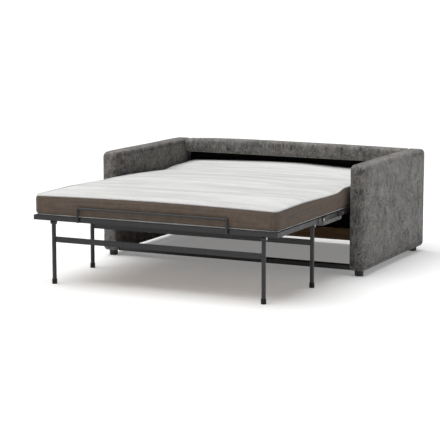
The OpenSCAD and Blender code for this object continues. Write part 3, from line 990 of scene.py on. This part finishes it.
@dataclass
class RailPad:
    """The padded rail along the top of the back, crowned at its middle and rounded at its ends."""

    node: str = "back_rail_cover"
    round_edge: float = 0.022
    round_end: float = 0.0155
    back_edge: float = 0.004
    tuck: float = 0.0016
    crown: float = 0.004
    lift: float = 0.0005
    left_rise: float = 0.0035
    front_rise: float = 0.0028
    front_puff: float = 0.001
    front_wave: float = 0.0012
    front_pull: float = 0.0005
    top_wave: float = 0.0009
    top_pull: float = 0.0004
    grid: float = 0.02
    fine_grid: float = 0.012
    fill: float = 0.75
    low: Vector = field(init=False)
    high: Vector = field(init=False)

    def __post_init__(self) -> None:
        """Takes its corners from its solid, less the crown, with its ends tucked into the arms."""
        low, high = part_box(self.node)
        self.low = Vector((low.x - self.tuck, low.y + self.crown / 2, low.z))
        self.high = Vector((high.x + self.tuck, high.y, high.z - self.crown))

    def build(self, wardrobe: Wardrobe) -> list[Piece]:
        """Makes the rail's cover.

        Args:
            wardrobe: Where its finish comes from.

        Returns:
            The one finished piece.
        """
        low, high = self.low, self.high
        rail = add_block("back_rail_pad", low, high)
        for rear, radius, steps in ((True, self.back_edge, 3), (False, self.round_edge, 6)):
            bevel_edges(
                rail, radius, steps,
                lambda a, b, rear=rear: runs_along(a, b, Axis.X) and self.at_rear(a) == rear,
            )
        for x in (low.x, high.x):
            bevel_edges(rail, self.round_end, 4, in_plane(Axis.X, x))
        cut_rows(rail, Axis.X, rows_between(low.x, high.x, self.grid))
        for axis in (Axis.Y, Axis.Z):
            start, end = low[axis] + self.round_edge, high[axis] - self.round_edge
            cut_rows(rail, axis, rows_between(start, end, self.fine_grid))
        self.square_rear(rail)
        x, y, _ = points_of(rail).T
        held = (high.x - np.abs(x) < self.round_end) | (y > high.y - 0.03)
        swell(rail, held, pressure=2.0, frames=12, cap=0.0025)
        self.plump(rail)
        return upholster(rail, self.node, "sofa_frame", wardrobe, angle=70.0)

    def at_rear(self, point: Vector) -> bool:
        """Whether a point is at the lower rear edge."""
        return point.y > self.high.y - 0.01 and point.z < self.low.z + 0.01

    def square_rear(self, rail: Piece) -> None:
        """Leaves the ends square at the lower rear, where they close on the arms and the outside back.

        Args:
            rail: The rounded rail.
        """
        co = points_of(rail)
        x, y, z = co.T
        reach = self.round_end + 0.0001
        rounded = (self.high.x - np.abs(x) < reach) & (z - self.low.z < reach)
        square = np.where(rounded, ramp_up(y, self.high.y - 0.06, self.high.y - 0.02), 0.0)
        z -= (z - self.low.z) * square
        set_points(rail, co)

    def plump(self, rail: Piece) -> None:
        """Crowns the rail along its length and draws its cover in softly between pulls of the cloth.

        Args:
            rail: The swelled rail.
        """
        low, high = self.low, self.high
        mid = (low + high) / 2
        co = points_of(rail)
        x, y, z = co.T
        along = 1 - (x / high.x) ** 2
        up = ramp_up(z, low.z, high.z)
        fore = ramp_up(-y, -high.y, -low.y)
        z += self.crown * along * up
        left = ramp_up(-x, -0.35, 0.45) * (1 - ramp_up(-x, 0.6, 0.71))
        top = (self.lift + self.left_rise * left) * up * np.clip(2.2 * along, 0, 1)
        z += top + self.front_rise * left * (1 - up) * fore
        y -= self.crown / 2 * along * fore
        face = 1 - (2 * np.abs(z - mid.z) / (high.z - low.z)) ** 2
        soft = hills(co, size=(0.17, 0.3, 0.2), seed=5.3)
        pull = hills(co, size=(0.035, 0.3, 0.09), seed=9.1)
        fullness = np.clip(face, 0, 1) * (self.front_puff + self.front_wave * soft)
        y -= np.where(y < low.y + 0.002, fullness + self.front_pull * pull, 0.0)
        z += np.where(z > high.z - 0.002, self.top_wave * soft + self.top_pull * pull, 0.0)
        set_points(rail, co)


@dataclass
class FlatPad:
    """A thin upholstered panel: the outside of the back, or the apron under the short section."""

    name: str
    node: str
    body: str
    thickness: Axis
    outward: int
    edge: float
    fill: float
    wrap: float = 0.0
    lap: float = 0.0003
    puff: float = 0.002
    unevenness: float = 0.35
    grid: float = 0.024

    def build(self, wardrobe: Wardrobe) -> list[Piece]:
        """Makes the panel.

        Args:
            wardrobe: Where its finish comes from.

        Returns:
            The one finished piece.
        """
        low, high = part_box(self.node)
        axis = self.thickness
        across = [a for a in Axis if a != axis]
        if self.wrap:
            low[axis] -= self.wrap
            for a in across:
                low[a] -= self.lap
                high[a] += self.lap
        panel = add_block(self.name, low, high)
        plane = high[axis] if self.outward > 0 else low[axis]
        bevel_edges(panel, self.edge, 4, in_plane(axis, plane))
        for a in across:
            cut_rows(panel, a, rows_between(low[a], high[a], self.grid))
        co = points_of(panel)
        inside = np.min([np.minimum(co[:, a] - low[a], high[a] - co[:, a]) for a in across], axis=0)
        soft = hills(co, size=(0.21, 0.21, 0.21), seed=2.9)
        outer = np.abs(co[:, axis] - plane) < 0.002
        lift = ramp_up(inside, 0.0, 0.09) * self.puff * (1 + self.unevenness * soft)
        co[:, axis] += np.where(outer, self.outward * lift, 0.0)
        set_points(panel, co)
        return upholster(panel, self.node, self.body, wardrobe)


@dataclass
class Lining:
    """The black cloth stretched over the back of the recess."""

    node: str = "back_lining"
    ripple: float = 0.0009
    grid: float = 0.035

    def build(self, wardrobe: Wardrobe) -> list[Piece]:
        """Makes the cloth.

        Args:
            wardrobe: Where its finish comes from.

        Returns:
            The one finished piece.
        """
        low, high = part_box(self.node)
        cloth = add_block("recess_lining", low, high)
        for axis in (Axis.X, Axis.Z):
            cut_rows(cloth, axis, rows_between(low[axis], high[axis], self.grid))
        co = points_of(cloth)
        x, y, z = co.T
        edge = np.minimum(np.minimum(x - low.x, high.x - x), np.minimum(z - low.z, high.z - z))
        sag = ramp_up(edge, 0.0, 0.06) * self.ripple * (1 + hills(co, size=(0.07, 1.0, 0.4), seed=4.2))
        y -= np.where(y < (low.y + high.y) / 2, sag, 0.0)
        set_points(cloth, co)
        finish_faces(cloth)
        wardrobe.dress(cloth, Slot.LINING)
        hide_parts(self.node)
        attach(cloth, "sofa_frame")
        return [cloth]


# Mattress


@dataclass(frozen=True)
class Length:
    """One length of the mattress: the depths where it is cut, and the joint that it bends across."""

    name: str
    cut_near: float | None
    cut_far: float | None
    before: str
    after: str
    fold: float
    reach: float
    nodes: tuple[str, ...]


@dataclass
class Mattress:
    """The mattress, made whole and then divided into lengths, each of which spans one of its folds.

    Its top is white ticking, and a cloth border joined to it by a taped seam goes round its sides.
    """

    half_width: float = 0.694
    start: float = 0.0285
    end: float = 1.8725
    bottom: float = 0.3662
    side_height: float = 0.1018
    shoulder: float = 0.022
    seam_turn: float = 36.0
    plan_corner: float = 0.034
    crown: float = 0.0155
    level: tuple[tuple[float, float], ...] = (
        (0.028, 0.001), (0.1, -0.0046), (0.155, -0.008), (0.264, -0.01), (0.32, -0.0125), (0.37, -0.0185),
        (0.415, -0.0235), (0.44, -0.0245), (0.47, -0.0225), (0.52, -0.0185), (0.574, -0.0155),
        (0.673, -0.0115), (0.77, -0.007), (0.87, -0.003), (0.96, -0.001), (1.05, 0.0), (1.19, 0.0),
        (1.36, 0.005), (1.53, 0.009), (1.65, 0.007), (1.8, 0.005), (1.873, 0.003),
    )
    blur: float = 0.016
    head_dip: float = 0.009
    side_rise: float = 0.015
    wide_wave: float = 0.0034
    fine_wave: float = 0.0014
    hollow: float = 0.0035
    hollow_depth: float = 0.875
    hollow_width: float = 0.07
    head_tilt: float = 1.2877
    side_bulge: float = 0.0026
    pucker: float = 0.0006
    grid: float = 0.024
    rows_up: tuple[float, ...] = (0.4, 0.5, 0.6)
    tape_radius: float = 0.0042
    tape_proud: float = 0.0004
    low_tape: tuple[float, float] = (0.0132, 0.0035)
    fill: float = 0.8
    lengths: tuple[Length, ...] = (
        Length("mattress_head", None, 0.71, "body_section", "head_section", PLACES.head_fold, 0.1,
               ("head_mattress", "head_fold_mattress")),
        Length("mattress_middle", 0.71, 1.16791, "body_section", "mid_section", PLACES.front_fold, 0.075,
               ("body_mattress", "foot_fold_mattress")),
        Length("mattress_foot", 1.16791, None, "mid_section", "foot_section", PLACES.foot_fold, 0.075,
               ("foot_mattress",)),
    )

    def build(self, wardrobe: Wardrobe) -> list[Piece]:
        """Makes the mattress.

        Args:
            wardrobe: Where its finishes come from.

        Returns:
            Its three lengths, from the head to the foot.
        """
        whole = self.shell()
        self.paint(whole, wardrobe)
        self.swell_top(whole)
        self.add_tape(whole, wardrobe)
        self.form(whole)
        return self.divide(whole)

    def shell(self) -> Piece:
        """Makes a rounded slab with rows of points across it.

        Returns:
            The slab.
        """
        top = self.bottom + self.side_height
        low = (-self.half_width, PLACES.y(self.end), self.bottom)
        high = (self.half_width, PLACES.y(self.start), top)
        slab = add_block("mattress", low, high)
        bevel_edges(slab, self.plan_corner, 5, lambda a, b: runs_along(a, b, Axis.Z))
        for z in (self.bottom, top):
            bevel_edges(slab, self.shoulder, 5, in_plane(Axis.Z, z))
        for axis in (Axis.X, Axis.Y):
            start, end = low[axis] + self.shoulder, high[axis] - self.shoulder
            cut_rows(slab, axis, rows_between(start, end, self.grid))
        cut_rows(slab, Axis.Z, [self.bottom + self.side_height * share for share in self.rows_up])
        return slab

    def edge_distance(self, co: Row) -> Row:
        """How far points are inside the mattress's outline, seen from above."""
        y = np.minimum(co[:, 1] - PLACES.y(self.end), PLACES.y(self.start) - co[:, 1])
        return np.minimum(self.half_width - np.abs(co[:, 0]), y)

    def seam(self) -> tuple[float, float]:
        """Finds the seam between the top and the border, which lies part of the way round the shoulder.

        Returns:
            How far in from the outline it is, and how high.
        """
        turn = math.radians(self.seam_turn)
        inset = self.shoulder * (1 - math.sin(turn))
        return inset, self.bottom + self.side_height - self.shoulder * (1 - math.cos(turn))

    def swell_top(self, slab: Piece) -> None:
        """Lets the cover swell between its seams, with the underside held by the slats.

        Args:
            slab: The slab.
        """
        co = points_of(slab)
        inset, height = self.seam()
        at_seam = (np.abs(self.edge_distance(co) - inset) < 0.002) & (np.abs(co[:, 2] - height) < 0.002)
        held = (co[:, 2] < self.bottom + 0.004) | at_seam
        swell(slab, held, pressure=2.5, frames=14, cap=0.006)

    def paint(self, slab: Piece, wardrobe: Wardrobe) -> None:
        """Puts ticking on top, and border cloth on the sides and below.

        Args:
            slab: The slab, before it swells.
            wardrobe: Where its finishes come from.
        """
        wardrobe.dress(slab, Slot.TICKING, BORDER, TAPE)
        height = self.seam()[1]
        for face in slab.data.polygons:
            face.material_index = 0 if face.center.z > height else 1

    def outline(self, inset: float, steps: int = 6) -> list[tuple[float, float]]:
        """Draws the mattress's outline seen from above.

        Args:
            inset: How far it is drawn in.
            steps: The steps of each corner.

        Returns:
            The X and Y of its points.
        """
        r = max(0.004, self.plan_corner - inset)
        x = self.half_width - inset - r
        y0, y1 = PLACES.y(self.end) + inset + r, PLACES.y(self.start) - inset - r
        arcs = []
        for cx, cy, turn in ((x, y0, -90.0), (x, y1, 0.0), (-x, y1, 90.0), (-x, y0, 180.0)):
            angles = [math.radians(turn + 90 * i / steps) for i in range(steps + 1)]
            arcs.append([(cx + r * math.cos(angle), cy + r * math.sin(angle)) for angle in angles])
        points = []
        for arc, after in zip(arcs, arcs[1:] + arcs[:1]):
            (ax, ay), (bx, by) = arc[-1], after[0]
            count = max(1, round(math.dist(arc[-1], after[0]) / self.grid))
            points += arc
            points += [(ax + (bx - ax) * i / count, ay + (by - ay) * i / count) for i in range(1, count)]
        return points

    def add_tape(self, slab: Piece, wardrobe: Wardrobe) -> None:
        """Sews a rolled tape over the seams at the top and the bottom of the border.

        Args:
            slab: The swelled slab.
            wardrobe: Where the tape's finish comes from.
        """
        inset, height = self.seam()
        low_inset, low_rise = self.low_tape
        places = ((inset - self.tape_proud, height + self.tape_proud), (low_inset, self.bottom + low_rise))
        rolls = [self.roll_tape(inwards, z, wardrobe) for inwards, z in places]
        make_active(slab)
        for roll in rolls:
            roll.select_set(True)
        bpy.ops.object.join()

    def roll_tape(self, inset: float, z: float, wardrobe: Wardrobe) -> Piece:
        """Makes one roll of tape, all round the mattress.

        Args:
            inset: How far in from the outline it lies.
            z: Its height.
            wardrobe: Where its finish comes from.

        Returns:
            The roll, as a mesh.
        """
        curve = bpy.data.curves.new("tape", "CURVE")
        curve.dimensions = "3D"
        curve.bevel_depth = self.tape_radius
        curve.bevel_resolution = 2
        path = self.outline(inset)
        spline = curve.splines.new("POLY")
        spline.points.add(len(path) - 1)
        for point, (x, y) in zip(spline.points, path):
            point.co = (x, y, z, 1.0)
        spline.use_cyclic_u = True
        roll = bpy.data.objects.new("tape", curve)
        bpy.context.scene.collection.objects.link(roll)
        make_active(roll)
        bpy.ops.object.convert(target="MESH")
        roll = bpy.context.object
        wardrobe.dress(roll, TAPE)
        return roll

    def rise_of_top(self, co: Row) -> Row:
        """Finds how far the top rises or sinks, as its filling and its folds make it.

        Args:
            co: The mattress's points.

        Returns:
            One height for each point.
        """
        x, y, _ = co.T
        depth = PLACES.back_y - y
        shifts = (-self.blur, 0.0, self.blur)
        level = np.mean([np.interp(depth + shift, *np.array(self.level).T) for shift in shifts], axis=0)
        across = 1 - np.clip(np.abs(x) / (self.half_width - self.shoulder), 0, 1) ** 1.7
        lift = self.crown * across * (1 - 0.35 * ramp_up(depth, 1.2, 1.5))
        head = 1 - ramp_up(depth, 0.1, 0.5)
        lift -= self.head_dip * head * ramp_up(x, 0.02, 0.35)
        side = ramp_up(x, 0.35, 0.66) * ramp_up(depth, 0.56, 0.87) * (1 - ramp_up(depth, 0.99, 1.08))
        inside = self.edge_distance(co)
        waves = hills(co, size=(0.95, 0.1, 1.0), seed=6.4) * self.wide_wave
        waves += hills(co, size=(0.3, 0.06, 1.0), seed=12.9) * self.fine_wave
        hollow = np.exp(-(((depth - self.hollow_depth) / self.hollow_width) ** 2)) * self.hollow
        hollow *= ramp_up(inside, 0.08, 0.4)
        return level + lift + self.side_rise * side + (waves - hollow) * ramp_up(inside, 0.0, 0.12)

    def form(self, slab: Piece) -> None:
        """Crowns the top, sinks it over the head fold and draws the sides in between the seams.

        Args:
            slab: The swelled and taped slab.
        """
        co = points_of(slab)
        x, y, z = co.T
        share = np.clip((z - self.bottom) / self.side_height, 0.0, 1.1)
        z += np.where(share > 0.02, share, 0.0) * self.rise_of_top(co)
        past_fold = np.clip(PLACES.head_fold - (PLACES.back_y - y), 0, None)
        z += past_fold * math.tan(math.radians(self.head_tilt)) * (1 - share)
        bulge = np.clip(1 - (2 * (share - 0.5)) ** 2, 0, 1)
        pucker = hills(co, size=(0.05, 0.05, 10.0), seed=8.8)
        on_side = self.edge_distance(co) < 0.006
        draw = np.where(on_side, self.side_bulge * bulge + self.pucker * pucker * bulge, 0.0)
        at_x = (self.half_width - np.abs(x)) < 0.006
        x -= np.where(at_x, np.sign(x) * draw, 0.0)
        middle = PLACES.y((self.start + self.end) / 2)
        y -= np.where(on_side & ~at_x, np.sign(y - middle) * draw, 0.0)
        set_points(slab, co)
        finish_faces(slab)

    def divide(self, slab: Piece) -> list[Piece]:
        """Divides the mattress at two level places into its lengths.

        Args:
            slab: The whole mattress, which is used up.

        Returns:
            The lengths.
        """
        normals = np.zeros(len(slab.data.vertices) * 3)
        slab.data.vertices.foreach_get("normal", normals)
        facing = slab.data.attributes.new("facing", "FLOAT_VECTOR", "POINT")
        facing.data.foreach_set("vector", normals.astype(np.float32))
        pieces = []
        for length in self.lengths:
            make_active(slab)
            bpy.ops.object.duplicate()
            piece = bpy.context.object
            piece.name = length.name
            piece.data.name = length.name
            cuts = [(length.cut_near, True), (length.cut_far, False)]
            cuts = [(depth, keep_far) for depth, keep_far in cuts if depth is not None]
            for depth, keep_far in cuts:
                self.cut(piece, depth, keep_far)
            self.keep_facing(piece, [depth for depth, _ in cuts])
            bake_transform(piece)
            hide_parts(*length.nodes)
            pieces.append(piece)
        bpy.data.objects.remove(slab)
        return pieces

    def cut(self, piece: Piece, depth: float, keep_far: bool) -> None:
        """Cuts the mattress across and closes it there, the cover and the tape each on its own.

        Args:
            piece: The length to cut.
            depth: Where it is cut.
            keep_far: Whether the part towards the foot is kept, and not the part towards the head.
        """
        for cloths in ((0, 1), (2,)):
            faces = piece.data.polygons
            mark(piece, faces, [face.index for face in faces if face.material_index in cloths])
            with editing(piece, Pick.FACES):
                bpy.ops.mesh.bisect(
                    plane_co=(0.0, PLACES.y(depth), 0.0), plane_no=(0.0, 1.0, 0.0), use_fill=True,
                    clear_outer=keep_far, clear_inner=not keep_far, threshold=0.0001,
                )

    def keep_facing(self, piece: Piece, cuts: Sequence[float]) -> None:
        """Shades the points at a cut as the whole mattress was shaded there, so that no line shows.

        Args:
            piece: The length.
            cuts: The depths where it is cut.
        """
        mesh = piece.data
        stored = np.zeros(len(mesh.vertices) * 3)
        mesh.attributes["facing"].data.foreach_get("vector", stored)
        stored = stored.reshape(-1, 3)
        depth = PLACES.back_y - points_of(piece)[:, 1]
        at_cut = np.min([np.abs(depth - c) for c in cuts], axis=0) < 0.0005
        normals = []
        for face in mesh.polygons:
            cap = abs(face.normal.y) > 0.9 and all(at_cut[v] for v in face.vertices)
            for v in face.vertices:
                known = at_cut[v] and not cap and stored[v].any()
                normals.append(Vector(stored[v]).normalized() if known else Vector((0, 0, 0)))
        mesh.normals_split_custom_set(normals)
        mesh.attributes.remove(mesh.attributes["facing"])


# Frame


@dataclass
class Frame:
    """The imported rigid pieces, which keep their shapes and get their finishes."""

    nodes: dict[str, Piece]
    record: dict

    def dress(self, wardrobe: Wardrobe) -> None:
        """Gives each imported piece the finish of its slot.

        Args:
            wardrobe: Where the finishes come from.
        """
        slots = {part["node"]: Slot(part["material_slot"]) for part in self.record["subparts"]}
        for name, node in self.nodes.items():
            material = wardrobe.of(slots[name])
            for slot in node.material_slots:
                slot.material = material


# Studio


@dataclass(frozen=True)
class Studio:
    """A pale floor, soft light and the camera."""

    eye: tuple[float, float, float] = (3.6564, -7.6827, 1.5626)
    tilt: float = 81.26
    turn: float = 25.853
    lens: float = 126.69
    sensor: float = 36.0
    floor_size: float = 800.0
    floor_tone: Colour = (0.86, 0.86, 0.86)
    floor_glow: float = 0.22
    sky: float = 0.12
    sun: float = 3.08
    sun_spread: float = 70.0
    sun_way: tuple[float, float, float] = (0.3, 0.16, -1.0)
    box_at: tuple[float, float, float] = (2.3, 0.3, 0.5)
    box_aim: tuple[float, float, float] = (0.8, 0.45, 0.4)
    box_size: float = 0.8
    box_power: float = 5.3

    def build(self) -> None:
        """Sets the whole studio up."""
        self.add_camera()
        self.add_floor()
        self.add_sky()
        self.add_lamps()
        bpy.context.scene.view_settings.view_transform = "Standard"

    def add_camera(self) -> None:
        """Sets the camera where the picture was taken from."""
        data = bpy.data.cameras.new("camera")
        data.lens = self.lens
        data.sensor_width = self.sensor
        data.clip_end = 1000.0
        camera = bpy.data.objects.new("camera", data)
        bpy.context.scene.collection.objects.link(camera)
        camera.location = self.eye
        camera.rotation_euler = (math.radians(self.tilt), 0.0, math.radians(self.turn))
        bpy.context.scene.camera = camera

    def add_floor(self) -> None:
        """Lays a pale floor that looks white to the camera and keeps the object's shadow."""
        clear_selection()
        bpy.ops.mesh.primitive_plane_add(size=self.floor_size)
        floor = bpy.context.object
        floor.name = "floor"
        t = Tree("pale_floor")
        ray = t.add("ShaderNodeLightPath").outputs
        seen = t.combine(ray["Is Camera Ray"], ray["Is Glossy Ray"], Join.MAXIMUM)
        seen = t.combine(seen, ray["Is Transmission Ray"], Join.MAXIMUM)
        material = t.shade(
            Base_Color=self.floor_tone, Roughness=0.9, Specular_IOR_Level=0.0, Emission_Color=WHITE,
            Emission_Strength=t.combine(seen, self.floor_glow, Join.MULTIPLY),
        )
        floor.data.materials.append(material)

    def add_sky(self) -> None:
        """Fills the room with even light, and shows white to the camera."""
        world = bpy.data.worlds.new("studio")
        bpy.context.scene.world = world
        world.use_nodes = True
        nodes, links = world.node_tree.nodes, world.node_tree.links
        nodes.clear()
        out = nodes.new("ShaderNodeOutputWorld")
        mix = nodes.new("ShaderNodeMixShader")
        ray = nodes.new("ShaderNodeLightPath")
        links.new(ray.outputs["Is Camera Ray"], mix.inputs[0])
        for socket, strength in ((mix.inputs[1], self.sky), (mix.inputs[2], 1.0)):
            light = nodes.new("ShaderNodeBackground")
            light.inputs["Strength"].default_value = strength
            light.inputs["Color"].default_value = (*WHITE, 1.0)
            links.new(light.outputs[0], socket)
        links.new(mix.outputs[0], out.inputs[0])

    def add_lamp(self, name: str, kind: str, power: float, at: Vector, way: Vector) -> bpy.types.Light:
        """Hangs a lamp.

        Args:
            name: The lamp's name.
            kind: The lamp's type.
            power: How strong it is.
            at: Where it hangs.
            way: Which way it shines.

        Returns:
            The light, which still has to get its size.
        """
        light = bpy.data.lights.new(name, kind)
        light.energy = power
        lamp = bpy.data.objects.new(name, light)
        bpy.context.scene.collection.objects.link(lamp)
        lamp.location = at
        lamp.rotation_euler = way.to_track_quat("-Z", "Y").to_euler()
        return light

    def add_lamps(self) -> None:
        """Hangs soft light from high on the left, and a softbox beside the right arm."""
        sun = self.add_lamp("high_light", "SUN", self.sun, Vector(), Vector(self.sun_way))
        sun.angle = math.radians(self.sun_spread)
        at, aim = Vector(self.box_at), Vector(self.box_aim)
        softbox = self.add_lamp("right_side", "AREA", self.box_power, at, aim - at)
        softbox.size = self.box_size


def main() -> None:
    """Builds the sofa bed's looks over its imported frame."""
    logging.basicConfig(level=logging.INFO, format="%(name)s: %(message)s")
    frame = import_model()
    Studio().build()
    wardrobe = Wardrobe()
    Frame(frame["nodes"], frame["record"]).dress(wardrobe)
    makers = (
        ArmPad(Side.RIGHT),
        ArmPad(Side.LEFT),
        RailPad(),
        FlatPad("outside_back_panel", "back_cover", "sofa_frame", thickness=Axis.Y, outward=1, edge=0.004,
                fill=0.3, wrap=0.0093),
        FlatPad("apron_panel", "apron_cover", "mid_section", thickness=Axis.Z, outward=-1, edge=0.009,
                fill=0.6),
        Lining(),
        Mattress(),
    )
    for maker in makers:
        for piece in maker.build(wardrobe):
            LOG.info("%s: %d faces", piece.name, len(piece.data.polygons))
    clear_selection()


if __name__ == "__main__":
    main()
